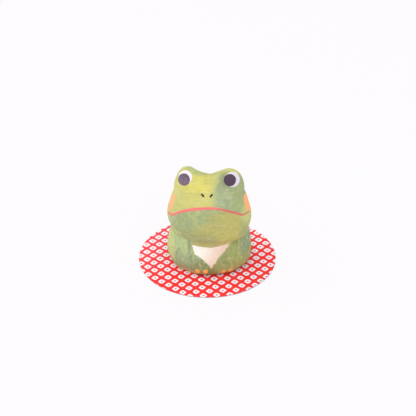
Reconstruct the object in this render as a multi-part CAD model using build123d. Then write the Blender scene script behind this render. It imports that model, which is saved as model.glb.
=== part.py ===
"""Hand-painted frog figurine on a round paper mat. Millimetres, +Z up.

The origin is the centre of the mat's underside. The frog looks towards -Y, and +X is the side on
the viewer's right. The frog is one closed piece: a squat body, whose arms leave a V of chest bare,
and a wide head, lofted through rings that follow its side, front and back outlines, and swollen
over each eye. The features stand out or sink in by the depth of the paint and of the maker's tool.
"""

import math
import os

from build123d import *

# Paper mat
mat_diameter = 80.0
mat_thickness = 0.5

# Where the frog stands on the mat, and how it is turned about the vertical, in degrees
frog_shift_x = 1.15
frog_shift_y = 0.0
head_turn = -5.0
body_turn = 5.0

# Body: heights above the mat, half-widths, and depths from the frog's axis to the front and back
foot_half_width = 21.2
foot_front = 18.6
foot_back = 17.6
foot_round_height = 1.6
foot_round = 2.0
belly_height = 7.0
belly_half_width = 24.5
belly_front = 21.0
belly_back = 20.4
neck_height = 21.2
neck_half_width = 22.5
neck_front = 17.8
neck_back = 18.6
body_core_height = 28.0
body_core_inset = 4.0

# Head: side, front and back outlines, from the chin's underside over the crown to the crest behind
# it, and the angle in degrees by which the jaw hangs towards +X
chin_underside = 19.7
chin_round = 5.5
chin_height = 21.9
chin_half_width = 21.2
chin_front = 18.8
nape_back = 17.8
jaw_tilt = 2.8
jowl_height = 25.8
jowl_half_width = 23.3
jowl_front = 21.0
jowl_back = 19.7
cheek_height = 31.2
cheek_half_width = 24.0
cheek_front = 21.4
cheek_back = 19.8
muzzle_height = 39.6
muzzle_half_width = 22.3
muzzle_front = 20.9
muzzle_back = 18.1
temple_height = 46.3
temple_half_width = 19.7
mouth_front = 18.9
temple_back = 13.6
socket_height = 49.4
socket_half_width = 16.5
brow_height = 52.2
brow_half_width = 9.2
nose_height = 51.2
nose_front = 15.3
crown_height = 57.0
crown_front = 4.0
crest_height = 52.6
crest_back = 4.5
muzzle_fullness = 0.05
head_centre_height = 40.0

# Eye swellings on the head, angles seen from the head's centre
eye_swell = 9.7
eye_swell_angle = 36.5
eye_outward_angle = 35.6
eye_forward_angle = 5.0
left_eye_extra_swell = -0.4
left_eye_inward_angle = 2.0

# Face, drawn on a plane that leans back, and pressed straight on to the head
face_lean = 33.0
eye_press_start = 8.0
mouth_press_start = -16.0
eye_white_radius = 4.05
pupil_radius = 3.3
eye_spacing = 25.9
eyes_aside = 0.5
eye_line = 43.8
gaze_aside = 1.0
gaze_down = 0.8
white_relief = 0.25
pupil_relief = 0.45
mouth_tilt = 3.0
mouth_line = 27.3
mouth_slope_half_width = 9.4
mouth_slope_line = 26.5
mouth_dip_half_width = 18.9
mouth_dip_line = 23.8
mouth_end_half_width = 22.3
mouth_end_line = 25.3
mouth_width = 1.4
mouth_end_width = 0.8
mouth_depth = 0.4
nostril_line = 34.5
nostril_spacing = 4.9
nostril_length = 1.7
nostril_width = 0.7
nostril_slant = 40.0
nostril_depth = 0.8

# Chest between the arms, and the toes
chest_aside = -1.0
chest_top_half_width = 10.9
chest_top_height = 19.4
chest_brink_height = 17.9
chest_mid_height = 12.1
chest_left_mid_half_width = 6.3
chest_right_mid_half_width = 4.3
chest_tip_height = 5.3
chest_depth = 0.9
toe_radius = 1.3
toe_relief = 0.4
toe_height = 3.4
toe_first_angle = 14.0
toe_step_angle = 10.8
paw_turn = 8.0

# How finely the skins follow their outlines
ring_points = 28
head_rings = 15
last_ring_share = 0.985


def ring(side, front, back, fullness=0.0, shape=lambda point: point):
    """Closed smooth curve through the points front, right side and back, fuller between them."""
    middle, half = (front + back) / 2, (back - front) / 2
    points = []
    for step in range(ring_points):
        angle = 2 * math.pi * step / ring_points
        across, along = math.cos(angle), math.sin(angle)
        share = along * along
        centre = Vector(0, side.Y, side.Z) * (1 - share) + middle * share
        arm = Vector(side.X * across, 0, 0) + half * along
        points.append(shape(centre + arm * (1 + fullness * math.sin(2 * angle) ** 2)))
    knots = [step / ring_points for step in range(ring_points + 1)]
    return Wire([Edge.make_spline(points, periodic=True, parameters=knots)])


def body_skin(grow=0.0):
    """The body's skin as a closed solid, moved outwards by grow."""
    levels = [
        (0.0, foot_half_width, foot_front, foot_back),
        (foot_round_height, foot_half_width + foot_round, foot_front + foot_round, foot_back + foot_round),
        (belly_height, belly_half_width, belly_front, belly_back),
        (neck_height, neck_half_width, neck_front, neck_back),
        (body_core_height, *(size - body_core_inset for size in (neck_half_width, neck_front, neck_back))),
    ]
    rings = [
        ring(
            Vector(half_width + grow, 0, height),
            Vector(0, -front - grow, height),
            Vector(0, back + grow, height),
        )
        for height, half_width, front, back in levels
    ]
    return Solid.make_loft(rings)


def eye_direction(side):
    """Unit vector from the head's centre to the middle of the swelling on the side +1 or -1."""
    inward_angle = left_eye_inward_angle if side < 0 else 0
    outward = math.radians(eye_outward_angle - inward_angle)
    forward = math.radians(eye_forward_angle)
    return Vector(
        side * math.sin(outward),
        -math.cos(outward) * math.sin(forward),
        math.cos(outward) * math.cos(forward),
    )


def shaped(point, grow):
    """A point of the plain head, tilted with the jaw, swollen over the eyes and pushed out by grow."""
    jaw_share = max(0, (muzzle_height - point.Z) / (muzzle_height - chin_underside))
    point = point - Vector(0, 0, point.X * math.tan(math.radians(jaw_tilt)) * jaw_share)
    centre = Vector(0, -crown_front, head_centre_height)
    arm = point - centre
    push = grow
    for side, swell in ((1, eye_swell), (-1, eye_swell + left_eye_extra_swell)):
        off = arm.get_angle(eye_direction(side)) / eye_swell_angle
        if off < 1:
            push += swell * (1 - off * off) ** 2
    return point + arm.normalized() * push


def head_outlines():
    """The side, front and back outlines of the plain head, from under the chin to the head's crest."""
    crest = (0, crest_back, crest_height)
    crest_fall = (crest_height - temple_height) / (temple_back - crest_back)
    side_points = [
        (chin_half_width - chin_round, 0, chin_underside),
        (chin_half_width, 0, chin_height),
        (jowl_half_width, 0, jowl_height),
        (cheek_half_width, 0, cheek_height),
        (muzzle_half_width, 0, muzzle_height),
        (temple_half_width, 0, temple_height),
        (socket_half_width, 0, socket_height),
        (brow_half_width, 0, brow_height),
        crest,
    ]
    front_points = [
        (0, chin_round - chin_front, chin_underside),
        (0, -chin_front, chin_height),
        (0, -jowl_front, jowl_height),
        (0, -cheek_front, cheek_height),
        (0, -muzzle_front, muzzle_height),
        (0, -mouth_front, temple_height),
        (0, -nose_front, nose_height),
        (0, -crown_front, crown_height),
        crest,
    ]
    back_points = [
        (0, nape_back - chin_round, chin_underside),
        (0, nape_back, chin_height),
        (0, jowl_back, jowl_height),
        (0, cheek_back, cheek_height),
        (0, muzzle_back, muzzle_height),
        (0, temple_back, temple_height),
        crest,
    ]
    ends = [((1, 0, 0), (-1, 0, 0)), ((0, -1, 0), (0, 1, -crest_fall)), ((0, 1, 0), (0, -1, crest_fall))]
    return [
        Spline(*points, tangents=tangents, tangent_scalars=(1, 1))
        for points, tangents in zip((side_points, front_points, back_points), ends)
    ]


def head_skin(grow=0.0):
    """The head's skin as a closed solid, moved outwards by grow."""
    side, front, back = head_outlines()
    sections = []
    for share in [*(level / head_rings for level in range(head_rings)), last_ring_share]:
        fullness = muzzle_fullness * math.sin(math.pi * share) ** 2
        sections.append(
            ring(side @ share, front @ share, back @ share, fullness, lambda point: shaped(point, grow))
        )
    top = shaped(side @ 1, grow)
    return Solid.make_loft([*sections, Vertex(top.X, top.Y, top.Z)])


def pressed(outlines, start):
    """Outlines drawn on the face, X to the right and Y up it, as prisms towards the viewer.

    The prisms start at the given distance in front of the head's centre.
    """
    lean = math.radians(face_lean)
    towards_viewer = Vector(0, -math.cos(lean), math.sin(lean))
    upright = Plane(origin=(0, 0, 0), x_dir=(1, 0, 0), z_dir=towards_viewer)
    centre = towards_viewer.dot(Vector(0, -crown_front, head_centre_height))
    return extrude(upright.offset(centre + start) * (Sketch() + outlines), 2 * cheek_front)


def raised(skin, prisms, relief):
    """The patches of a skin inside the prisms, standing out by relief."""
    return skin(relief) & prisms


def sunk(skin, prisms, depth):
    """The cutter that leaves recesses of the given depth in a skin, inside the prisms."""
    return prisms - skin(-depth)


def mouth_outline():
    """The mouth's band: a wide arch that dips at the corners and turns up at its ends."""
    stations = [
        (0, 0, mouth_width),
        (mouth_slope_half_width, mouth_slope_line - mouth_line, mouth_width),
        (mouth_dip_half_width, mouth_dip_line - mouth_line, mouth_end_width),
        (mouth_end_half_width, mouth_end_line - mouth_line, mouth_end_width),
    ]
    stations = [(-x, y, width) for x, y, width in reversed(stations[1:])] + stations
    upper = [(x, y + width / 2) for x, y, width in stations]
    lower = [(x, y - width / 2) for x, y, width in stations]
    ends = [Line(upper[0], lower[0]), Line(upper[-1], lower[-1])]
    band = make_face([Spline(*upper), Spline(*lower), *ends])
    return Pos(0, mouth_line) * Rot(0, 0, mouth_tilt) * band


def head():
    """The head with its eyes, mouth and nostrils, before it is turned."""
    sides = (1, -1)
    eyes = [Pos(side * eye_spacing / 2 + eyes_aside, eye_line) for side in sides]
    whites = [eye * Circle(eye_white_radius) for eye in eyes]
    pupils = [eye * Pos(-gaze_aside, -gaze_down) * Circle(pupil_radius) for eye in eyes]
    nostrils = [
        Pos(side * nostril_spacing / 2, nostril_line)
        * Rot(0, 0, side * (90 - nostril_slant))
        * SlotOverall(nostril_length, nostril_width)
        for side in sides
    ]
    solid = head_skin()
    solid = solid - sunk(head_skin, pressed(mouth_outline(), mouth_press_start), mouth_depth)
    solid = solid - sunk(head_skin, pressed(nostrils, eye_press_start), nostril_depth)
    solid = solid + raised(head_skin, pressed(whites, eye_press_start), white_relief)
    return solid + raised(head_skin, pressed(pupils, eye_press_start), pupil_relief)


def chest_outline():
    """The V between the arms, seen from the front, with a brink that sags under the chin."""
    tip, brink = (0, chest_tip_height), (0, chest_brink_height)
    edges = []
    for side, mid_half_width in ((1, chest_right_mid_half_width), (-1, chest_left_mid_half_width)):
        corner = (side * chest_top_half_width, chest_top_height)
        edges.append(ThreePointArc(tip, (side * mid_half_width, chest_mid_height), corner))
        edges.append(Line(corner, brink))
    return Pos(chest_aside, 0) * make_face(edges)


def body():
    """The body with the bare chest, before it is turned."""
    chest = extrude(Plane.XZ * chest_outline(), belly_front + belly_back)
    return body_skin() - sunk(body_skin, chest, chest_depth)


def toes():
    """The two painted toes of each paw: raised round spots at the foot of the front."""
    spot = extrude(Plane.XZ * Pos(0, toe_height) * Circle(toe_radius), belly_front + belly_back)
    turns = [
        side * (toe_first_angle + step * toe_step_angle)
        for side in (1, -1)
        for step in range(2)
    ]
    return [raised(body_skin, Rot(0, 0, turn) * spot, toe_relief) for turn in turns]


def frog():
    """The whole figurine, standing on the mat."""
    whole = Rot(0, 0, body_turn) * body() + Rot(0, 0, head_turn) * head()
    for toe in toes():
        whole = whole + Rot(0, 0, paw_turn) * toe
    return Pos(frog_shift_x, frog_shift_y, mat_thickness) * whole


def paper_mat():
    """The round mat, lying on the table."""
    return Cylinder(mat_diameter / 2, mat_thickness, align=(Align.CENTER, Align.CENTER, Align.MIN))


os.makedirs("parts", exist_ok=True)
for name, solid in {"frog": frog(), "paper_mat": paper_mat()}.items():
    export_step(solid, f"parts/{name}.step")
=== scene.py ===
# %% [markdown]
# # A hand-painted frog on a round printed paper mat
#
# The object is a small frog, about 63 mm tall, moulded in one piece and painted with matte
# poster colours. It stands on a disc cut from paper with a red dotted print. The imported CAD
# model gives both shapes in metres; this lesson gives them a hand-made surface and their paint.

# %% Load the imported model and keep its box
import math

import bpy
import numpy as np
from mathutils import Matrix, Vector


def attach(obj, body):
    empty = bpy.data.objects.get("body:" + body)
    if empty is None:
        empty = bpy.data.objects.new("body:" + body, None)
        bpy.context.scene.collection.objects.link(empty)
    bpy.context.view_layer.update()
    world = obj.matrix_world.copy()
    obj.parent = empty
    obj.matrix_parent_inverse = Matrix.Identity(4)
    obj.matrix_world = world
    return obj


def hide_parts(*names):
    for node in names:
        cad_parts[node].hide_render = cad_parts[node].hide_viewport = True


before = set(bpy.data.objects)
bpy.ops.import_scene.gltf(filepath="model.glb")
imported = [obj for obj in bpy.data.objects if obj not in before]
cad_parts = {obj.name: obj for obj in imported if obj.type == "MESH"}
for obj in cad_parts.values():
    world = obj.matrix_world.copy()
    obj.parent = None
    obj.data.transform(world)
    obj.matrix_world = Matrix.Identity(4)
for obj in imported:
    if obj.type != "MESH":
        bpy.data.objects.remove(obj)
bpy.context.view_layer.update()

# %% [markdown]
# ## Measures of the object
#
# Everything below is written in millimetres, as a maker would measure it, and Blender works in
# metres, so one name turns the first into the second. The frog's head looks a little to one side
# and its paws point to the other. Features are therefore placed in the head's or the body's own
# turned frame: x to the viewer's right, y backwards, z up from the mat's top. Left and right
# below are the viewer's.

# %% Where the frog stands, and how its parts are turned
MM = 0.001
PAPER = 0.5
STAND_X = 1.15
HEAD_TURN = math.radians(-5.0)
BODY_TURN = math.radians(5.0)

print("the frog stands", STAND_X, "mm to the right on", PAPER, "mm of paper")

# %% [markdown]
# ## Shader maths as Python expressions
#
# A painted surface is a long calculation: a disc here, a soft edge there, one paint over another.
# Wiring it by hand hides the idea behind the cables, so a small class wraps a socket and lets
# Python's own operators make the Math nodes. A second class keeps one node tree, of a material
# or of the world, and makes every other node by one method. In a Mix node for colours, sockets 6
# and 7 are the two colours, and output 2 is their mix.

# %% A socket that understands + - * / ** and abs


class Signal:
    """A number that varies over the surface, held by one socket of a node tree."""

    def __init__(self, shader, socket):
        self.shader = shader
        self.socket = socket

    def math(self, operation, *others):
        return self.shader.math(operation, self, *others)

    def __add__(self, other):
        return self.math("ADD", other)

    __radd__ = __add__

    def __sub__(self, other):
        return self.math("SUBTRACT", other)

    def __rsub__(self, other):
        return self.shader.math("SUBTRACT", other, self)

    def __mul__(self, other):
        return self.math("MULTIPLY", other)

    __rmul__ = __mul__

    def __truediv__(self, other):
        return self.math("DIVIDE", other)

    def __pow__(self, other):
        return self.math("POWER", other)

    def __abs__(self):
        return self.math("ABSOLUTE")


# %% A node tree that makes its nodes by one method


class Shader:
    """The node tree of a material or of the world; node makes every node in it."""

    def __init__(self, owner):
        owner.use_nodes = True
        self.owner = owner
        self.tree = owner.node_tree

    def node(self, kind, settings, sockets, output=0):
        """Makes a node: first its settings, then the values or links of its sockets."""
        made = self.tree.nodes.new(kind)
        for name, value in settings.items():
            setattr(made, name, value)
        for key, value in sockets.items():
            self.feed(made.inputs[key], value)
        return Signal(self, made.outputs[output])

    def feed(self, socket, value):
        """Links a signal to a socket, or sets the socket's own value."""
        if isinstance(value, Signal):
            self.tree.links.new(value.socket, socket)
        else:
            socket.default_value = value

    def fill(self, name, sockets):
        """Feeds the sockets of a node that Blender has already put into the tree."""
        for key, value in sockets.items():
            self.feed(self.tree.nodes[name].inputs[key], value)

    def math(self, operation, *values):
        return self.node("ShaderNodeMath", {"operation": operation}, dict(enumerate(values)))

    def vector(self, operation, *values):
        settings = {"operation": operation}
        return self.node("ShaderNodeVectorMath", settings, dict(enumerate(values)))

    def split(self, vector):
        """The x, y and z of a vector."""
        parts = self.node("ShaderNodeSeparateXYZ", {}, {0: vector})
        return [Signal(self, socket) for socket in parts.socket.node.outputs]

    def mix(self, share, under, over):
        """Colour under, covered by colour over as far as share says."""
        colours = {"Factor": share, 6: under, 7: over}
        return self.node("ShaderNodeMix", {"data_type": "RGBA"}, colours, 2)

    def noise(self, place, scale, detail=2.0, roughness=0.5, output=0):
        """Soft cloud noise around 0.5 at the given places; output 1 gives it as a vector."""
        cloud = {"Vector": place, "Scale": scale, "Detail": detail, "Roughness": roughness}
        return self.node("ShaderNodeTexNoise", {}, cloud, output)

    def turned(self, place, shift, turn, unit):
        """Places measured from a shifted origin, turned about the upright, in the given unit."""
        frame_of_place = {
            "Vector": place,
            "Location": shift,
            "Rotation": (0.0, 0.0, turn),
            "Scale": (unit,) * 3,
        }
        return self.node("ShaderNodeMapping", {"vector_type": "TEXTURE"}, frame_of_place)


# %% [markdown]
# ## Formulas for paint and relief at once
#
# A feature such as an eye is needed twice: as paint, where a shader asks about each point of the
# picture, and as relief, where numpy asks about each vertex. The formulas below work on both, so
# that the relief always meets the painted edge.

# %% Ramps, blobs and spots


def ramp(value, low, high):
    """0 at low and 1 at high with soft ends; low may be the larger one."""
    if isinstance(value, Signal):
        return value.shader.node(
            "ShaderNodeMapRange",
            {"interpolation_type": "SMOOTHSTEP"},
            {"Value": value, "From Min": low, "From Max": high},
        )
    share = np.clip((value - low) / (high - low), 0.0, 1.0)
    return share * share * (3.0 - 2.0 * share)


def beyond(value, limit):
    """How far a value lies above a limit, or 0."""
    if isinstance(value, Signal):
        return (value - limit).math("MAXIMUM", 0.0)
    return np.maximum(value - limit, 0.0)


def length(*parts):
    """Length of a vector from its parts."""
    return sum(part * part for part in parts) ** 0.5


def blob(place, centre, radii, soft):
    """1 inside an ellipsoid, 0 outside, with an edge of the given share of its size."""
    reach = length(*((p - c) / r for p, c, r in zip(place, centre, radii)))
    return ramp(reach, 1.0 + soft, 1.0 - soft)


def spot(place, centre, radius, edge):
    """A painted round spot: the same as a blob, with its edge's width in millimetres."""
    return blob(place, centre, (radius,) * 3, edge / radius / 2)


print("half way up a ramp:", ramp(0.5, 0.0, 1.0), "and a blob's middle:", blob((0,), (0,), (1,), 0.1))

# %% [markdown]
# ## The frog's features
#
# Eyes, nostrils, mouth, cheeks, chest and toes are paint, each with its own slip of the hand: the
# left pupil sits lower than the right one, and the mouth is thinner to the right. A spot is the
# part of the surface inside a small ball, which stays round on a curved skin. Mouth and nostrils
# are measured on a plane that leans back as the face does, seen from in front and above. The V
# of the chest is seen from straight in front.

# %% Eyes, cheeks and toes: where they are, and how large
EYE_WHITES = [((-12.6, -11.6, 59.75), 4.07), ((13.82, -11.45, 59.85), 4.28)]
PUPILS = [((-13.1, -12.4, 58.65), 3.5), ((12.2, -12.0, 59.5), 3.42)]
CHEEKS = [(-1, (-8.4, 41.0), (3.15, 6.3), 0.08), (1, (-3.8, 40.5), (4.9, 5.9), 0.15)]
CHEEK_INSIDE = 12.0
TOES = [(-8.7, -20.3, 3.8), (-4.1, -21.4, 4.0), (6.3, -20.7, 2.9), (10.2, -19.3, 3.1)]
TOE_FULLNESS = (1.0, 1.0, 0.85, 0.7)
TOE_RADIUS = 1.42


def cheek(place, side, centre, radii, lean, edge):
    """A round of blusher on the side of the head, its top leaning forwards."""
    x, y, z = place
    disc = blob((y + lean * (z - centre[1]), z), centre, radii, edge)
    return disc * ramp(side * x, CHEEK_INSIDE, CHEEK_INSIDE + 1.0)


print("round features:", len(EYE_WHITES) + len(PUPILS) + len(CHEEKS) + len(TOES))

# %% Mouth and nostrils, on the leaning face
FACE_LEAN = math.radians(33.0)
HEAD_CENTRE_Y = -4.0
HEAD_CENTRE_Z = 40.0
MOUTH_TOP_X = 2.0
MOUTH_TOP_UP = 27.2
MOUTH_BEND = 0.0093
MOUTH_HALF = 0.8
MOUTH_LEFT = -22.7
MOUTH_RIGHT = 22.9
MOUTH_FRONT = -7.0
NOSTRILS = [((-3.25, 35.1), (-1.6, 33.55)), ((1.7, 33.45), (3.0, 35.35))]
NOSTRIL_HALF = 0.525


def face_plane(x, y, z):
    """Across the face, up it and out of it."""
    sine, cosine = math.sin(FACE_LEAN), math.cos(FACE_LEAN)
    middle = HEAD_CENTRE_Z * sine - HEAD_CENTRE_Y * cosine
    return x, y * sine + z * cosine, z * sine - y * cosine - middle


def mouth_arch(x):
    """How high on the face the mouth's wide arch runs, with three slips of the brush."""
    arch = MOUTH_TOP_UP - MOUTH_BEND * (x - MOUTH_TOP_X) ** 2.0
    middle_slip = 0.34 * ramp(abs(x - 5.4), 6.5, 0.0)
    left_slip = 0.2 * ramp(abs(x + 14.0), 5.0, 1.0)
    right_slip = 0.18 * ramp(x, 10.0, 16.0)
    return arch + middle_slip + left_slip + right_slip


def mouth(x, up, out, edge):
    """The mouth's band: the arch with its ends turned up, thinner towards the right."""
    left_turn = 0.15 * beyond(-1.0 * x, 18.3) ** 2.0
    right_turn = 0.16 * beyond(x, 18.0) ** 2.0
    line = mouth_arch(x) + left_turn + right_turn
    half = MOUTH_HALF - 0.3 * ramp(abs(x - 1.0), 8.0, 21.0)
    half = half - 0.12 * ramp(x, 6.0, 14.0) - 0.18 * ramp(abs(x - 7.0), 7.0, 2.0)
    slope = 1.0 + 0.25 * ramp(abs(x), 8.0, 18.0)
    off = abs(up - line) / slope
    ends = ramp(x, MOUTH_LEFT - edge, MOUTH_LEFT + edge)
    ends = ends * ramp(x, MOUTH_RIGHT + edge, MOUTH_RIGHT - edge)
    return ramp(off - half, edge, -1.0 * edge) * ends * ramp(out, MOUTH_FRONT - 1.0, MOUTH_FRONT)


def nostril(x, up, out, ends, edge):
    """A short slanting stroke of the brush between two points."""
    (x0, up0), (x1, up1) = ends
    run = math.hypot(x1 - x0, up1 - up0)
    along_x, along_up = (x1 - x0) / run, (up1 - up0) / run
    middle_x, middle_up = (x0 + x1) / 2, (up0 + up1) / 2
    along = (x - middle_x) * along_x + (up - middle_up) * along_up
    across = (x - middle_x) * along_up - (up - middle_up) * along_x
    reach = length(beyond(abs(along), run / 2 - NOSTRIL_HALF), across)
    return ramp(reach, NOSTRIL_HALF + edge, NOSTRIL_HALF - edge) * ramp(out, 5.0, 8.0)


print("the mouth runs", round(float(mouth_arch(0.0)), 1), "mm up the face in its middle")

# %% The bare chest between the arms
CHEST_TIP_X = -0.75
CHEST_TIP_Z = 5.5
CHEST_TOP_Z = 18.1


def chest(x, y, z, edge, fray):
    """The bare V between the arms, steep in its left corner; fray moves its right edge."""
    aside = x - CHEST_TIP_X
    left = CHEST_TIP_Z - 1.45 * aside - 0.06 * aside * aside + 3.2 * beyond(-1.0 * aside, 9.0)
    right = CHEST_TIP_Z + 1.6 * aside - 0.04 * aside * aside + fray
    brink = CHEST_TOP_Z + 0.08 * beyond(-1.0 * x, 0.0) + 0.16 * beyond(x, 0.0)
    inside = ramp(z - left, -1.0 * edge, edge) * ramp(z - right, -1.6 * edge, 1.6 * edge)
    inside = inside * ramp(x, 9.8, 8.6) * ramp(z - brink, edge, -1.0 * edge)
    return inside * ramp(y, -8.0, -9.0)


print("the chest is", CHEST_TOP_Z - CHEST_TIP_Z, "mm tall in its middle")

# %% [markdown]
# ## The frog's skin of moulded paper pulp
#
# The real frog was pressed in a mould and sanded by hand, so its skin has no hard edge and is
# nowhere quite even. The CAD solid has the right form, but crisp steps where paint meets paint.
# A copy of its mesh is merged, remeshed to even squares and smoothed, which softens the steps as
# a coat of ground does, and then gets low hills and dents from a cloud texture.

# %% Copy the CAD skin and turn it into an even, soft mesh
SKIN_GRAIN = 0.76 * MM
SKIN_SMOOTHING = 7
SAME_POINT = 0.002 * MM


def activate(piece):
    """Only this piece is selected and active, as after a click on it."""
    bpy.ops.object.select_all(action="DESELECT")
    piece.select_set(True)
    bpy.context.view_layer.objects.active = piece


def apply_modifier(piece, kind, **settings):
    """Adds a modifier with these settings and applies it at once."""
    activate(piece)
    modifier = piece.modifiers.new(kind.lower(), kind)
    for name, value in settings.items():
        setattr(modifier, name, value)
    bpy.ops.object.modifier_apply(modifier=modifier.name)


frog = bpy.data.objects.new("painted_frog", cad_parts["frog"].data.copy())
bpy.context.scene.collection.objects.link(frog)
frog.data.materials.clear()
activate(frog)
bpy.ops.object.mode_set(mode="EDIT")
bpy.ops.mesh.select_all(action="SELECT")
bpy.ops.mesh.remove_doubles(threshold=SAME_POINT)
bpy.ops.object.mode_set(mode="OBJECT")
apply_modifier(frog, "REMESH", mode="VOXEL", voxel_size=SKIN_GRAIN)
apply_modifier(frog, "SMOOTH", factor=0.5, iterations=SKIN_SMOOTHING)
apply_modifier(frog, "SUBSURF", levels=1, render_levels=1)
print("frog skin:", len(frog.data.polygons), "faces")

# %% Hills and dents of the hand-made skin
HILL_SIZE = 11.0 * MM
HILL_HEIGHT = 0.5 * MM

hills = bpy.data.textures.new("hills", "CLOUDS")
hills.noise_scale = HILL_SIZE
hills.noise_depth = 1
apply_modifier(
    frog, "DISPLACE", texture=hills, texture_coords="LOCAL", strength=HILL_HEIGHT, mid_level=0.5
)
print("hills:", HILL_HEIGHT / MM, "mm from the deepest to the highest")

# %% [markdown]
# ## Relief of the paint, and marks of the maker's thumbs
#
# Poster paint is thick. Where one colour lies over another it stands out by about a tenth of a
# millimetre, and the point of a tool has left the nostrils as small hollows. Thumbs pressed the
# damp pulp, so here and there the form is up to one and a half millimetres fuller or flatter.
# Sculpting this by hand would never meet the painted edges, so formulas move the vertices along
# their normals. Near the mat they move only sideways, and the foot stays flat on the paper.

# %% Read the skin's points, and turn them into places on the frog


def turned_places(points, turn):
    """Points in metres, as millimetres in the frog's frame turned about the upright."""
    x = points[:, 0] / MM - STAND_X
    y = points[:, 1] / MM
    z = points[:, 2] / MM - PAPER
    cosine, sine = math.cos(turn), math.sin(turn)
    return cosine * x + sine * y, cosine * y - sine * x, z


def read_vertices(piece, what):
    """One vector for each vertex of a piece, such as its place or its normal."""
    numbers = np.empty(len(piece.data.vertices) * 3, np.float32)
    piece.data.vertices.foreach_get(what, numbers)
    return numbers.reshape(-1, 3).astype(float)


points = read_vertices(frog, "co")
normals = read_vertices(frog, "normal")
head_place = turned_places(points, HEAD_TURN)
body_place = turned_places(points, BODY_TURN)
face = face_plane(*head_place)
print("skin:", len(points), "points, the highest", round(float(head_place[2].max()), 1), "mm up")

# %% Thumb marks: centre and radius on the head's frame, and how much fuller or flatter
THUMB_MARKS = [
    ((-18.5, -6.5, 58.5), 3.0, -0.75),
    ((-14.0, -4.5, 62.6), 1.8, 0.35),
    ((-6.1, -2.4, 60.6), 2.5, -1.3),
    ((-4.0, -1.8, 58.9), 1.8, -0.6),
    ((0.5, -1.8, 56.9), 2.2, 0.35),
    ((7.0, -3.6, 60.9), 2.6, -0.5),
    ((-18.9, -6.6, 55.0), 2.0, -0.35),
    ((-18.9, -4.5, 50.0), 2.6, 0.6),
    ((-22.0, 0.0, 40.0), 4.0, -0.5),
    ((19.2, -5.5, 57.5), 3.0, -0.4),
    ((19.3, -2.0, 49.5), 3.0, 0.8),
    ((21.6, 5.5, 39.5), 4.5, -0.65),
    ((-11.5, -17.4, 1.0), 4.0, -0.9),
    ((15.5, -13.8, 1.0), 5.0, 0.7),
    ((20.8, -6.5, 4.0), 4.0, 0.8),
    ((-20.5, -7.0, 4.0), 4.0, -1.0),
]

thumbed = sum(
    height * blob(head_place, centre, (radius,) * 3, 1.0) for centre, radius, height in THUMB_MARKS
)
print("thumb marks:", round(float(thumbed.min()), 2), "to", round(float(thumbed.max()), 2), "mm")

# %% Move the skin in and out
PAINT_HEIGHT = 0.1
TOE_LAYERS = 2.0
NOSTRIL_DEPTH = 0.35
SOFT_STEP = 0.35
STILL_HEIGHT = 0.5
FREE_HEIGHT = 4.0

raised = sum(spot(head_place, *eye, SOFT_STEP) for eye in EYE_WHITES + PUPILS)
raised = raised + mouth(*face, SOFT_STEP)
toes = sum(spot(body_place, toe, TOE_RADIUS, SOFT_STEP) for toe in TOES)
raised = raised + toes * TOE_LAYERS
sunk = sum(nostril(*face, ends, SOFT_STEP) for ends in NOSTRILS)
move = raised * PAINT_HEIGHT - sunk * NOSTRIL_DEPTH + thumbed
push = normals * (move * MM)[:, None]
push[:, 2] *= ramp(head_place[2], STILL_HEIGHT, FREE_HEIGHT)
points += push
points[:, 2] = np.maximum(points[:, 2], PAPER * MM)
frog.data.vertices.foreach_set("co", points.astype(np.float32).ravel())
frog.data.update()
activate(frog)
bpy.ops.object.shade_smooth()
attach(frog, "root")
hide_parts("frog")
print("relief:", round(float(move.min()), 2), "to", round(float(move.max()), 2), "mm")

# %% [markdown]
# ## Poster colours for the frog
#
# The painter worked with a dry brush and few colours, laid side by side and pulled into each
# other. A plain gradient would look sprayed. Here each border between two paints is pushed to and
# fro by noise that is stretched along the strokes: sideways on the head, downwards on the body.
# Paints are written in screen values, as a colour picker shows them.

# %% Mix a paint, and lay paints over each other


def paint(red, green, blue):
    """A paint mixed in screen values, as the linear colour that Blender works with."""
    screen = [part / 255 for part in (red, green, blue)]
    return (*(((s + 0.055) / 1.055) ** 2.4 if s > 0.04 else s / 12.92 for s in screen), 1.0)


poster = Shader(bpy.data.materials.new("poster_paint"))


def layers(under, *over):
    """Lays paints over a first one, each as far as its share says."""
    for share, colour in over:
        under = poster.mix(share, under, colour)
    return under


print("middle grey is", round(paint(128, 128, 128)[0], 3), "to Blender")

# %% Places on the frog, that stray a little as the hand does
SLIP = 0.5
SLIP_SCALE = 0.6

place = poster.node("ShaderNodeTexCoord", {}, {}, "Object")
stand = (STAND_X * MM, 0.0, PAPER * MM)
head_vector = poster.turned(place, stand, HEAD_TURN, MM)
body_vector = poster.turned(place, stand, BODY_TURN, MM)


def slipped(vector):
    """x, y and z of a place, each off by a fraction of a millimetre."""
    stray = poster.noise(vector, SLIP_SCALE, output=1)
    stray = poster.vector("SUBTRACT", stray, (0.5, 0.5, 0.5))
    stray = poster.vector("MULTIPLY", stray, (SLIP,) * 3)
    return poster.split(poster.vector("ADD", vector, stray))


hx, hy, hz = slipped(head_vector)
bx, by, bz = slipped(body_vector)
face_x, up, out = face_plane(hx, hy, hz)
print("places:", len(poster.tree.nodes), "nodes")

# %% The brush's strokes and the paint's patches, as noise around 0


def strokes(vector, stretch):
    """Noise drawn out along the brush's way; a small number in stretch makes it long there."""
    return poster.noise(poster.vector("MULTIPLY", vector, stretch), 1.0) - 0.5


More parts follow.
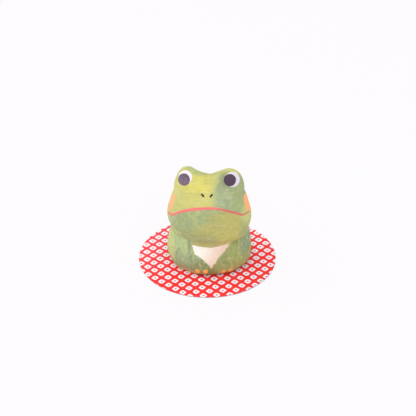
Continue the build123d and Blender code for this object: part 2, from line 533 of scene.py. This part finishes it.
patch = poster.noise(head_vector, 0.16) - 0.5
cloud = poster.noise(head_vector, 0.28) - 0.5
mottle = poster.noise(head_vector, 0.5, 3.0, 0.65) - 0.5
sideways = strokes(head_vector, (0.15, 0.15, 1.1))
upright = strokes(body_vector, (0.8, 0.8, 0.12))
fine_sideways = strokes(head_vector, (0.35, 0.35, 4.0))
fine_upright = strokes(body_vector, (3.5, 3.5, 0.3))
drag = 4.5 * sideways + 3.5 * patch
pull = 5.0 * upright + 3.0 * patch
print("with the strokes:", len(poster.tree.nodes), "nodes")

# %% [markdown]
# ### The face
#
# The face starts lime. Its left side is paler, and lemon lies on the middle of the forehead.
# From the right nostril on it is sage, lighter and darker in clouds, with leaf green at the far
# right. A muted green runs over the crown and down the back of the head. Every zone is a mask
# from 0 to 1, named for where it lies, so that the layers below read like a painter's list.

# %% Where the face's colours lie
sage_edge = hx - 3.0 - 0.8 * ramp(up, 35.0, 30.0) - 0.016 * beyond(up, 31.0) ** 2.0 + drag
left_side = ramp(hx + 0.5 * drag, -13.0, -17.0) * ramp(up, 44.0, 39.0)
left_jowl = ramp(hx + drag, -11.0, -17.0) * ramp(up, 35.0, 32.0)
forehead = blob((hx, up), (-6.4, 39.8), (9.4, 6.2), 0.6) * ramp(sideways + patch, -0.4, 0.1)
crown = ramp(up + 0.5 * drag, 44.4, 46.8) * ramp(hx, -13.5, -11.0)
between_eyes = blob((hx + drag, up), (3.0, 42.6), (5.0, 2.6), 0.8)
left_shade = blob((hx + drag, up), (-10.0, 34.6), (7.0, 1.8), 0.8)
sage_side = ramp(sage_edge + 5.0 * mottle, -2.6, 3.0)
light_clouds = ramp(cloud, 0.0, 0.16) * ramp(sage_edge, 2.0, 5.0)
dark_clouds = ramp(cloud, 0.0, -0.16) * ramp(sage_edge, 0.0, 3.0)
beside_right_eye = blob((hx, up), (8.6, 43.2), (4.6, 4.2), 0.8) * ramp(sage_edge, 0.0, 2.0)
right_side = ramp(hx + 0.5 * drag, 11.0, 16.0)
right_crown = ramp(up + 0.5 * drag, 45.6, 47.6) * ramp(hx, 2.5, 6.0)
right_brow = blob((hx, up), (10.0, 46.6), (2.3, 1.7), 0.7)
back = ramp(out + drag, -2.0, -10.0)
back_clouds = ramp(out + drag, -4.0, -12.0) * ramp(cloud, 0.02, 0.2)
print("with the face's zones:", len(poster.tree.nodes), "nodes")

# %% Paint the face
LEMON = paint(227, 217, 114)
LIME = paint(210, 204, 123)
PALE_LIME = paint(219, 214, 142)
PEAR = paint(203, 204, 128)
CROWN_GREEN = paint(188, 193, 126)
SAGE = paint(170, 183, 143)
SHADE_SAGE = paint(148, 159, 120)
LEAF = paint(163, 175, 123)
BROW_GREEN = paint(158, 164, 112)

face_paint = layers(
    LIME,
    (left_side, PALE_LIME),
    (left_jowl, PEAR),
    (forehead, LEMON),
    (crown, CROWN_GREEN),
    (between_eyes * 0.35, CROWN_GREEN),
    (left_shade * 0.3, CROWN_GREEN),
    (sage_side, SAGE),
    (light_clouds * 0.3, LIME),
    (dark_clouds * 0.5, SHADE_SAGE),
    (beside_right_eye, SHADE_SAGE),
    (right_side * 0.9, LEAF),
    (right_crown, PEAR),
    (right_brow * 0.8, BROW_GREEN),
    (back, CROWN_GREEN),
    (back_clouds * 0.6, PEAR),
)
print("with the face's paints:", len(poster.tree.nodes), "nodes")

# %% [markdown]
# ### The chin
#
# Below the mouth the brush went from side to side over a bulging jaw. Sage on the left turns to
# olive along a slanting line, and gold shines through on the right. A darker moss green on the
# underside and low on the left is painted shade under the chin. The face's paint ends at the
# mouth, so one ramp at the mouth's own arch divides them.

# %% Paint the chin
CHIN_SAGE = paint(167, 179, 130)
CHEEK_SAGE = paint(184, 196, 154)
CHIN_SHADE_MOSS = paint(166, 171, 118)
OLIVE = paint(182, 178, 113)
GOLDEN = paint(196, 188, 106)
JOWL_GOLD = paint(202, 202, 130)

olive_edge = hx - 4.6 + 1.1 * (23.5 - up) + 2.0 * drag
left_cheek = ramp(hx + 1.5 * drag, -13.5, -20.5) * ramp(up, 14.0, 21.0)
under_mouth = blob((hx + drag, up), (9.5, 22.5), (8.5, 2.6), 0.8)
chin_middle = blob((hx + drag, up), (1.0, 15.0), (5.0, 3.0), 0.9)
# painted shade: darker moss green on the chin's underside and low on its left
chin_low_left_shade = ramp(up + 0.5 * drag, 14.0, 10.5) * ramp(hx, 10.0, 3.0)
chin_paint = layers(
    CHIN_SAGE,
    (left_cheek * 0.9, CHEEK_SAGE),
    (ramp(cloud, 0.02, 0.18) * 0.5, PEAR),
    (ramp(cloud, -0.02, -0.18) * 0.3, SHADE_SAGE),
    (ramp(up + drag, 16.0, 11.0), CHIN_SHADE_MOSS),
    (ramp(olive_edge, -4.5, 4.5), OLIVE),
    (ramp(olive_edge + drag, 8.0, 16.0) * 0.7, GOLDEN),
    (under_mouth * 0.35, GOLDEN),
    (chin_middle * 0.25, GOLDEN),
    (chin_low_left_shade * 0.8, CHIN_SHADE_MOSS),
    (ramp(hx + drag, 15.5, 22.0) * 0.8, LEAF),
)
below_mouth = ramp(up - mouth_arch(hx), 0.4, -0.4)
right_jowl = blob((hx, up), (22.2, 25.5), (3.4, 5.5), 0.5)
head_paint = layers(face_paint, (below_mouth, chin_paint), (right_jowl * 0.85, JOWL_GOLD))
print("head paint:", len(poster.tree.nodes), "nodes so far")

# %% [markdown]
# ### The arms
#
# Arms and flanks are brushed downwards. The left arm is a light leaf green that cools towards
# the paw; the right one is warmer, with one bluish stroke down its outside. Full and empty
# bristles leave lighter and darker lines, taken here from the ends of the strokes' own noise.

# %% Paint the two arms
ARM_LEAF = paint(180, 200, 145)
PALE_LEAF = paint(202, 210, 144)
BLUE_GREEN = paint(141, 157, 124)
ARM_SAGE = paint(159, 174, 133)
ARM_MOSS = paint(141, 156, 114)
WARM_GREEN = paint(158, 168, 106)
STRAW = paint(163, 160, 98)

full_bristles = ramp(upright, 0.02, 0.22)
empty_bristles = ramp(upright, -0.04, -0.24)
outer_stroke = blob((bx + 0.5 * pull, bz), (20.0, 16.5), (3.0, 7.5), 0.6)
left_arm = layers(
    ARM_LEAF,
    (full_bristles * 0.6, PALE_LEAF),
    (empty_bristles * 0.6, BLUE_GREEN),
    (ramp(bz + pull, 16.0, 9.5), ARM_SAGE),
    (ramp(bz - 0.4 * bx + pull, 12.5, 8.5), ARM_MOSS),
)
right_arm = layers(
    WARM_GREEN,
    (full_bristles * 0.5, STRAW),
    (empty_bristles * 0.5, ARM_MOSS),
    (ramp(bz + pull, 11.0, 5.0), STRAW),
    (outer_stroke * 0.9, BLUE_GREEN),
)
print("with the arms:", len(poster.tree.nodes), "nodes")

# %% [markdown]
# ### Strokes on the body, and its foot
#
# Single strokes lie over the arms: pale and blue ones on the left shoulder, moss beside the tip
# of the chest, dark olive in the right armpit. The blue one and a moss one below it run down the
# crease between the left arm and the chest as painted shade, and a pale strip down the far left
# flank is a painted highlight. Near the mat all of it turns earthy, paler on the left, and darker
# still along the foot's edge, which is painted contact shadow.

# %% Where the single strokes lie
# painted highlight: a paler strip down the far left flank, on the side the light comes from
left_flank_highlight = ramp(bx + 0.4 * pull, -19.8, -21.6) * ramp(bz + pull, 3.0, 7.5)
pale_shoulder = blob((bx + upright, bz), (-14.4, 19.3), (1.8, 3.2), 0.7)
# painted shade: a blue-green stroke down the crease between the left arm and the chest
left_crease_shade = blob((bx + 1.5 * upright, bz), (-12.6, 18.6), (1.2, 5.0), 0.7)
earthy = ramp(bz + 0.5 * pull, 4.2, 1.2)
right_armpit = blob((bx + upright, bz), (14.4, 20.0), (2.2, 2.6), 0.7)
right_of_tip = blob((bx + 0.5 * pull, bz), (6.2, 8.0), (3.2, 3.6), 0.7)
left_of_tip = blob((bx + 0.5 * pull, bz), (-6.6, 6.4), (4.4, 3.6), 0.6)
# painted shade: a moss stroke that carries the same crease's shade further down
left_crease_shade_low = blob((bx, bz), (-10.6, 11.4), (2.2, 3.2), 0.7)
between_toes = blob((bx + 0.3 * pull, bz), (-0.6, 2.6), (3.2, 3.4), 0.6) * ramp(by, -8.0, -10.0)
# painted contact shadow: darker earth along the foot's edge, from the middle to the right
foot_contact_shade = ramp(bz + 0.1 * pull - 0.08 * beyond(bx, 4.0), 2.0, 0.6) * ramp(bx, -12.0, -6.0)
under_chin = ramp(bz + sideways, 17.6, 19.0) * ramp(abs(bx), 12.5, 10.0) * ramp(by, -6.0, -9.0)
print("with the body's zones:", len(poster.tree.nodes), "nodes")

# %% Paint the body
EARTH = paint(174, 146, 82)
PALE_EARTH = paint(206, 192, 126)
CONTACT_SHADE_EARTH = paint(136, 98, 56)
DEEP_OLIVE = paint(138, 144, 88)
WARM_MOSS = paint(138, 147, 98)
FOOT_OLIVE = paint(138, 128, 80)

earth = poster.mix(ramp(bx + pull, -12.0, -4.0), PALE_EARTH, EARTH)
body_paint = layers(
    left_arm,
    (ramp(bx + 2.0 * patch, -3.0, 4.0), right_arm),
    (left_flank_highlight, PALE_LEAF),
    (pale_shoulder * 0.6, PALE_LEAF),
    (left_crease_shade * 0.8, BLUE_GREEN),
    (earthy, earth),
    (right_armpit * 0.85, DEEP_OLIVE),
    (right_of_tip * 0.7, WARM_MOSS),
    (left_of_tip * 0.9, WARM_MOSS),
    (left_crease_shade_low * 0.6, ARM_MOSS),
    (between_toes * 0.85, FOOT_OLIVE),
    (foot_contact_shade, CONTACT_SHADE_EARTH),
    (under_chin, OLIVE),
)
print("body paint:", len(poster.tree.nodes), "nodes so far")

# %% [markdown]
# ### The groove between head and body
#
# The head's paint ends in the groove above the shoulders, which climbs a little to the left. On
# the left a lighter green is painted along the head's side of it, and a paler one at the very
# edge; both are painted light, which lifts the shade that falls in the groove. A narrow ramp
# across the groove lays the head's paint over the body's.

# %% Join head and body
GROOVE_LIGHT_GREEN = paint(174, 194, 134)
GROOVE_HEIGHT = 21.0
GROOVE_CLIMB = 0.045

above_groove = hz + GROOVE_CLIMB * hx - GROOVE_HEIGHT
# painted light: lighter greens along the groove, where the groove lies in shade
groove_painted_light = ramp(abs(above_groove - 2.6), 3.0, 1.0) * ramp(hx, -3.0, -8.0)
groove_edge_highlight = ramp(abs(above_groove - 3.0), 3.2, 1.2) * ramp(hx + drag, -13.5, -17.5)
skin = layers(
    body_paint,
    (ramp(above_groove, -0.3, 0.3), head_paint),
    (groove_painted_light * 0.6, GROOVE_LIGHT_GREEN),
    (groove_edge_highlight * 0.8, PALE_LEAF),
)
print("greens:", len(poster.tree.nodes), "nodes so far")

# %% [markdown]
# ### Streaks
#
# A dry brush leaves some ridges full and others empty. Light streaks let the yellow ground
# through, dark ones hold more green. Coarse strokes, fine bristle marks and a cloudy mottle are
# added up, lying sideways on the head and upright on the body. They are weaker on the head and
# near the mat, where the paint was rubbed.

# %% Streak the greens
STREAK_LIGHT = paint(238, 232, 178)
STREAK_DARK = paint(118, 125, 68)
STREAK_REACH = 0.28

on_head = ramp(hz, 19.0, 22.0)
coarse = upright + on_head * (sideways - upright)
fine = fine_upright + on_head * (fine_sideways - fine_upright)
streak = 0.7 * coarse + 0.1 * fine + 0.9 * mottle
strength = 0.4 - 0.18 * on_head - 0.16 * ramp(bz, 10.0, 4.0)
skin = layers(
    skin,
    (ramp(streak, 0.0, STREAK_REACH) * strength, STREAK_LIGHT),
    (ramp(streak, 0.0, -STREAK_REACH) * strength, STREAK_DARK),
)
print("with the streaks:", len(poster.tree.nodes), "nodes")

# %% [markdown]
# ### Cheeks, chest and toes
#
# These were painted when the greens had dried. The blusher is peach on the left cheek and
# apricot on the right. The chest is nearly white at its left, pinkish to the right, and darker
# to the right and towards its tip as painted shade, and the dry brush frayed its right edge. The
# right toes are only dabs, so their orange covers less.

# %% Paint cheeks, chest and toes
PEACH = paint(251, 192, 135)
APRICOT = paint(255, 181, 121)
CHEST_WHITE = paint(255, 251, 240)
CHEST_PINK_SHADE = paint(239, 208, 188)
CHEST_TIP_SHADE = paint(226, 193, 160)
TOE_ORANGE = paint(253, 170, 84)
EDGE = 0.16
CHEEK_EDGE = 0.06
CHEST_EDGE = 0.3

for spread, blush in zip(CHEEKS, (PEACH, APRICOT)):
    skin = poster.mix(cheek((hx, hy, hz), *spread, CHEEK_EDGE), skin, blush)
# painted shade: the chest turns pinker and darker to the right, and darker towards its tip
chest_paint = layers(
    CHEST_WHITE,
    (ramp(bx - 0.5 * bz + pull, -15.0, 0.0), CHEST_PINK_SHADE),
    (ramp(bz + pull, 10.0, 5.0), CHEST_TIP_SHADE),
)
fray = 3.5 * upright + 0.8 * patch
skin = poster.mix(chest(bx, by, bz, CHEST_EDGE, fray), skin, chest_paint)
for toe, fullness in zip(TOES, TOE_FULLNESS):
    dab = spot((bx, by, bz), toe, TOE_RADIUS, EDGE * 2) * fullness
    skin = poster.mix(dab, skin, TOE_ORANGE)
print("with cheeks, chest and toes:", len(poster.tree.nodes), "nodes")

# %% [markdown]
# ### Mouth and eyes
#
# The mouth is coral, with painted shade making it duskier where it turns away to the right. The
# eyes are two spots each: a chalky white, greyer at the right eye's right side as painted shade,
# and a pupil of dark plum, which is worn to grey on the left eye, most of all low down. The
# nostrils come last, two short brown strokes.

# %% Paint mouth, eyes and nostrils
CORAL = paint(250, 128, 126)
SHADED_CORAL = paint(218, 116, 104)
CHALK = paint(246, 238, 246)
SHADED_CHALK = paint(226, 218, 230)
PLUM = paint(83, 67, 84)
GREY_PLUM = paint(136, 118, 136)
NOSTRIL_BROWN = paint(52, 40, 42)

# painted shade: the mouth turns duskier to the right, where it turns away from the light
lip = poster.mix(ramp(hx, 3.0, 11.0), CORAL, SHADED_CORAL)
skin = poster.mix(mouth(face_x, up, out, EDGE), skin, lip)
# painted shade: the right eye's white turns greyer towards its right side
chalk = poster.mix(ramp(hx, 9.0, 15.0), CHALK, SHADED_CHALK)
for eye in EYE_WHITES:
    skin = poster.mix(spot((hx, hy, hz), *eye, EDGE * 2), skin, chalk)
wear = strokes(head_vector, (1.6, 1.6, 0.3)) - 0.02 * hx - 0.05 * (hz - 59.0)
plum = poster.mix(ramp(wear, -0.16, 0.56), PLUM, GREY_PLUM)
for pupil in PUPILS:
    skin = poster.mix(spot((hx, hy, hz), *pupil, EDGE * 2), skin, plum)
for ends in NOSTRILS:
    skin = poster.mix(nostril(face_x, up, out, ends, EDGE), skin, NOSTRIL_BROWN)
print("with mouth and eyes:", len(poster.tree.nodes), "nodes")

# %% [markdown]
# ### The paint's surface
#
# Poster paint dries matte, a little glossier where it lies thick, and the brush leaves ridges
# in it. The ridges are too fine to model, so the strokes' own noise becomes a bump.

# %% Finish the poster paint
RIDGE = 0.3 * MM

ridges = {"Strength": 0.25, "Distance": RIDGE, "Height": coarse + 0.2 * fine}
poster.fill(
    "Principled BSDF",
    {
        "Base Color": skin,
        "Roughness": 0.74 + 0.1 * patch,
        "Specular IOR Level": 0.25,
        "Normal": poster.node("ShaderNodeBump", {}, ridges),
    },
)
frog.data.materials.append(poster.owner)
print("poster paint:", len(poster.tree.nodes), "nodes")

# %% [markdown]
# ## The round mat
#
# The mat is a disc of stout paper, cut out with scissors. It could stay the CAD's plain disc, but
# a real cut edge is a little crushed. It starts as a circle primitive, is inset into rings,
# given the paper's thickness and bevelled along both edges.

# %% Model the mat from a circle
MAT_RADIUS = 40.0 * MM
MAT_SIDES = 160
EDGE_CRUSH = 0.08 * MM
RING_WIDTHS = (0.4, 3.0, 4.0, 6.0, 8.0)

bpy.ops.object.select_all(action="DESELECT")
bpy.ops.mesh.primitive_circle_add(
    vertices=MAT_SIDES, radius=MAT_RADIUS, fill_type="NGON", location=(0.0, 0.0, PAPER * MM)
)
mat = bpy.context.object
mat.name = "printed_mat"
bpy.ops.object.transform_apply(location=True)
bpy.ops.object.mode_set(mode="EDIT")
bpy.ops.mesh.select_all(action="SELECT")
for width in RING_WIDTHS:
    bpy.ops.mesh.inset(thickness=width * MM, depth=0.0)
bpy.ops.object.mode_set(mode="OBJECT")
apply_modifier(mat, "SOLIDIFY", thickness=PAPER * MM, offset=-1.0)
apply_modifier(mat, "BEVEL", width=EDGE_CRUSH, segments=2, limit_method="ANGLE")
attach(mat, "root")
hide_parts("paper_mat")
print("mat:", len(mat.data.polygons), "faces")

# %% [markdown]
# ## The mat's print
#
# The print imitates tie-dyed cloth: rows of white knots in red, each a rounded square with a
# small dot in its middle. Such a pattern is a lattice, so the surface is measured in steps of
# the print, and each step is folded back on to one knot. Noise in the measure and in the knots'
# edges keeps the rows as uneven as hand-tied ones, and the knots grow a little to the back.

# %% Find the nearest knot
PRINT_STEP = 5.282 * MM
PRINT_TURN = math.radians(49.46)
PRINT_SHIFT_X = 0.193
PRINT_SHIFT_Y = -0.39
DRIFT = 0.12
DRIFT_SCALE = 0.8

sheet = Shader(bpy.data.materials.new("kanoko_paper"))
sheet_place = sheet.node("ShaderNodeTexCoord", {}, {}, "Object")
steps = sheet.turned(sheet_place, (0.0, 0.0, 0.0), PRINT_TURN, PRINT_STEP)
drift = sheet.noise(steps, DRIFT_SCALE, 1.0, output=1)
drift = sheet.vector("SUBTRACT", drift, (0.5, 0.5, 0.5))
steps = sheet.vector("MULTIPLY_ADD", drift, (DRIFT,) * 3, steps)
steps_x, steps_y, _ = sheet.split(steps)


def folded(steps_along, shift):
    """Distance along the lattice from the middle of the nearest knot, from -0.5 to 0.5."""
    return (steps_along - shift + 0.5).math("FRACT") - 0.5


knot_x = folded(steps_x, PRINT_SHIFT_X)
knot_y = folded(steps_y, PRINT_SHIFT_Y)
print("about", round((2.0 * MAT_RADIUS / PRINT_STEP) ** 2 * math.pi / 4), "knots on the mat")

# %% [markdown]
# ### Ink and cut edge
#
# Inside a knot the paper's white shows. The red turns lighter and rosier towards the mat's back
# left. The sheet was cut after printing, so its edge shows bare pulp, greyed by a painted shadow
# along the rim and darker to the right as painted shade.
# Soft masks do all this too, and a fine noise gives the sheet the tooth of paper.

# %% Print the mat
KNOT_HALF = 0.333
KNOT_GROWTH = 0.0007 / MM
KNOT_EDGE = 0.03
DOT_RADIUS = 0.1
TOOTH = 0.1 * MM

PRINT_RED = paint(254, 56, 54)
PRINT_ROSE = paint(254, 78, 88)
PRINT_WHITE = paint(252, 247, 255)
DOT_RED = paint(222, 60, 84)
CUT_EDGE_AND_SHADOW = paint(176, 156, 176)
CUT_EDGE_SHADE = paint(132, 112, 132)

mat_x, mat_y, mat_z = sheet.split(sheet_place)
fibre = sheet.noise(steps, 5.0) - 0.5
corner = (abs(knot_x) ** 4.0 + abs(knot_y) ** 4.0) ** 0.25
past_knot = corner + 0.07 * fibre - KNOT_GROWTH * mat_y - KNOT_HALF
knot = ramp(past_knot, KNOT_EDGE, -KNOT_EDGE)
past_dot = length(knot_x, knot_y) + 0.05 * fibre - DOT_RADIUS
dot = ramp(past_dot, KNOT_EDGE, -KNOT_EDGE)
# the red turns lighter and rosier towards the mat's back left
rosier_back_left = ramp(mat_y - mat_x, -10.0 * MM, 50.0 * MM)
# painted shadow: the cut edge is greyed as if in the rim's shadow, and darker to the right
cut = sheet.mix(ramp(mat_x, 0.0, 25.0 * MM), CUT_EDGE_AND_SHADOW, CUT_EDGE_SHADE)
printed = sheet.mix(rosier_back_left, PRINT_RED, PRINT_ROSE)
printed = sheet.mix(knot, printed, PRINT_WHITE)
printed = sheet.mix(dot, printed, DOT_RED)
printed = sheet.mix(ramp(mat_z, 0.40 * MM, 0.45 * MM), cut, printed)
tooth = {"Strength": 0.15, "Distance": TOOTH, "Height": sheet.noise(sheet_place, 3.0 / MM, 3.0)}
sheet.fill(
    "Principled BSDF",
    {
        "Base Color": printed,
        "Roughness": 0.8 + 0.1 * fibre,
        "Specular IOR Level": 0.2,
        "Normal": sheet.node("ShaderNodeBump", {}, tooth),
    },
)
mat.data.materials.append(sheet.owner)
print("printed paper:", len(sheet.tree.nodes), "nodes")

# %% [markdown]
# ## Floor, light and camera
#
# The photograph is a product picture on white: light from all around, a little more from the
# upper left, and only a faint shadow where things touch. A bright world gives the first, two big
# soft lamps the second. To the camera, world and floor are shown almost as pure white whatever
# lights them, so the picture stays white and the floor still keeps the shadow.

# %% Floor
FLOOR_SIZE = 6.0
FLOOR_WHITE_SHARE = 0.88
FLOOR_GREY = (0.85, 0.85, 0.86, 1.0)
FLOOR_GLOW = (1.0, 0.98, 1.0, 1.0)

bpy.ops.object.select_all(action="DESELECT")
bpy.ops.mesh.primitive_plane_add(size=FLOOR_SIZE, location=(0.0, 0.0, 0.0))
floor = bpy.context.object
floor.name = "floor"


def seen(shader):
    """1 for what the camera sees, straight or by way of metal or glass, and 0 for light."""
    camera_ray = shader.node("ShaderNodeLightPath", {}, {}, "Is Camera Ray")
    kinds = camera_ray.socket.node.outputs
    glossy_ray = Signal(shader, kinds["Is Glossy Ray"])
    return camera_ray + glossy_ray + Signal(shader, kinds["Is Transmission Ray"])


ground = Shader(bpy.data.materials.new("white_floor"))
ground.fill("Principled BSDF", {"Base Color": FLOOR_GREY, "Roughness": 0.9})
lit = Signal(ground, ground.tree.nodes["Principled BSDF"].outputs[0])
glow = ground.node("ShaderNodeEmission", {}, {"Color": FLOOR_GLOW, "Strength": 1.0})
white_share = seen(ground) * FLOOR_WHITE_SHARE
blend = ground.node("ShaderNodeMixShader", {}, {0: white_share, 1: lit, 2: glow})
ground.fill("Material Output", {"Surface": blend})
floor.data.materials.append(ground.owner)
print("floor:", FLOOR_SIZE, "m wide")

# %% World
WORLD_LIGHT = 0.91
LAMP_WHITE = (1.0, 1.0, 1.0, 1.0)
BACKDROP_WHITE = (1.0, 0.99, 1.0, 1.0)

studio = Shader(bpy.data.worlds.new("studio"))
bpy.context.scene.world = studio.owner
studio.fill("Background", {"Color": LAMP_WHITE, "Strength": WORLD_LIGHT})
around = Signal(studio, studio.tree.nodes["Background"].outputs[0])
backdrop = studio.node("ShaderNodeBackground", {}, {"Color": BACKDROP_WHITE, "Strength": 1.0})
shown = studio.node("ShaderNodeMixShader", {}, {0: seen(studio), 1: around, 2: backdrop})
studio.fill("World Output", {"Surface": shown})
print("world light:", WORLD_LIGHT)

# %% Lamps
LAMP_AIM = Vector((0.0, 0.0, 0.03))


def soft_lamp(name, place, size, power):
    """A square area lamp that shines at the frog."""
    bpy.ops.object.light_add(type="AREA", location=place)
    lamp = bpy.context.object
    lamp.name = name
    lamp.data.size = size
    lamp.data.energy = power
    aim = LAMP_AIM - Vector(place)
    lamp.rotation_euler = aim.to_track_quat("-Z", "Y").to_euler()
    print("lamp", name, "shines with", power, "W")


soft_lamp("upper_left", (-0.45, 0.05, 0.75), 0.7, 1.3)
soft_lamp("front", (0.35, -0.9, 0.35), 0.9, 1.65)

# %% Camera
CAMERA_PLACE = Vector((-0.0003, -0.50087, 0.35099))
CAMERA_AIM = Vector((0.000407, 0.01554, 0.02386))
CAMERA_LENS = 90.1
SENSOR = 36.0

bpy.ops.object.camera_add(location=CAMERA_PLACE)
camera = bpy.context.object
camera.name = "camera"
camera.data.lens = CAMERA_LENS
camera.data.sensor_width = SENSOR
gaze = CAMERA_AIM - CAMERA_PLACE
camera.rotation_euler = gaze.to_track_quat("-Z", "Y").to_euler()
bpy.context.scene.camera = camera
bpy.context.scene.view_settings.view_transform = "Standard"
print("the camera is", round(gaze.length, 3), "m away")
